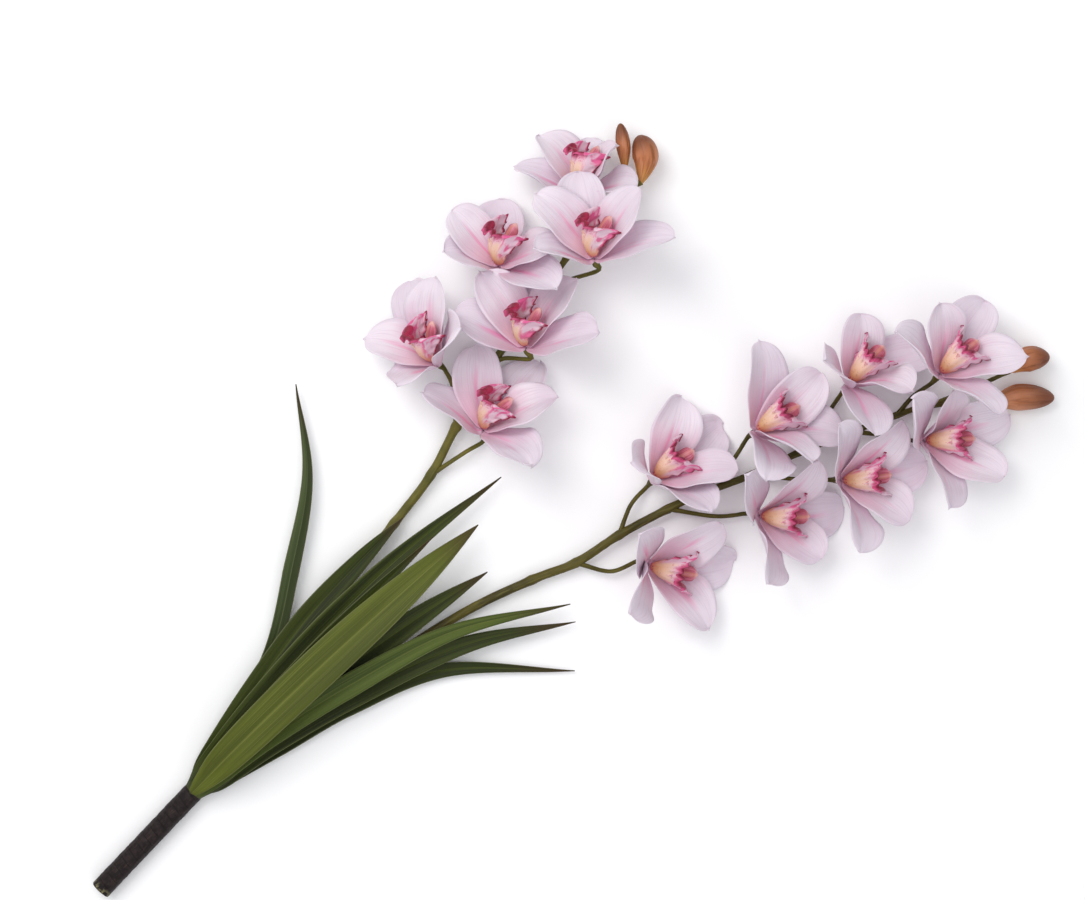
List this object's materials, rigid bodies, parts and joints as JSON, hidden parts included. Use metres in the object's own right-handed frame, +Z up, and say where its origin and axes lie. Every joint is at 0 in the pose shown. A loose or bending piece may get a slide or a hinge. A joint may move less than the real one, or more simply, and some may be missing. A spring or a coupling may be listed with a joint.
{
  "type": "artificial orchid spray",
  "caption": "Artificial cymbidium orchid spray that lies flat: a tape-wrapped stem, strap leaves and two branched spikes with open pink flowers and buds.",
  "frame": {"origin": "middle of the spray's bounding box, on the plane that it lies on", "axes": "+X along the spray, from the cut end of the stem towards the flowers; +Z up from the plane it lies on, towards the side that the flowers show"},
  "size_m": [0.7721, 0.4309, 0.0886],
  "materials": {
    "sepals": "satin",
    "petals": "satin",
    "lip": "satin",
    "bud": "matte",
    "leaf": "satin",
    "spike": "matte",
    "stem": "tape wrap"
  },
  "bodies": {
    "root": {"stem_base": "stem", "spike_left": "spike", "spike_right": "spike", "leaf_1": "leaf", "leaf_2": "leaf", "leaf_3": "leaf", "leaf_4": "leaf", "leaf_5": "leaf", "leaf_6": "leaf", "leaf_7": "leaf", "leaf_8": "leaf", "leaf_9": "leaf", "bud_a": "bud", "bud_b": "bud", "bud_c": "bud", "bud_d": "bud", "sepals_l1": "sepals", "petals_l1": "petals", "lip_l1": "lip", "sepals_l2": "sepals", "petals_l2": "petals", "lip_l2": "lip", "sepals_l3": "sepals", "petals_l3": "petals", "lip_l3": "lip", "sepals_l4": "sepals", "petals_l4": "petals", "lip_l4": "lip", "sepals_l5": "sepals", "petals_l5": "petals", "lip_l5": "lip", "sepals_l6": "sepals", "petals_l6": "petals", "lip_l6": "lip", "sepals_r1": "sepals", "petals_r1": "petals", "lip_r1": "lip", "sepals_r2": "sepals", "petals_r2": "petals", "lip_r2": "lip", "sepals_r3": "sepals", "petals_r3": "petals", "lip_r3": "lip", "sepals_r4": "sepals", "petals_r4": "petals", "lip_r4": "lip", "sepals_r5": "sepals", "petals_r5": "petals", "lip_r5": "lip", "sepals_r6": "sepals", "petals_r6": "petals", "lip_r6": "lip", "sepals_r7": "sepals", "petals_r7": "petals", "lip_r7": "lip", "sepals_r8": "sepals", "petals_r8": "petals", "lip_r8": "lip"}
  },
  "joints": []
}
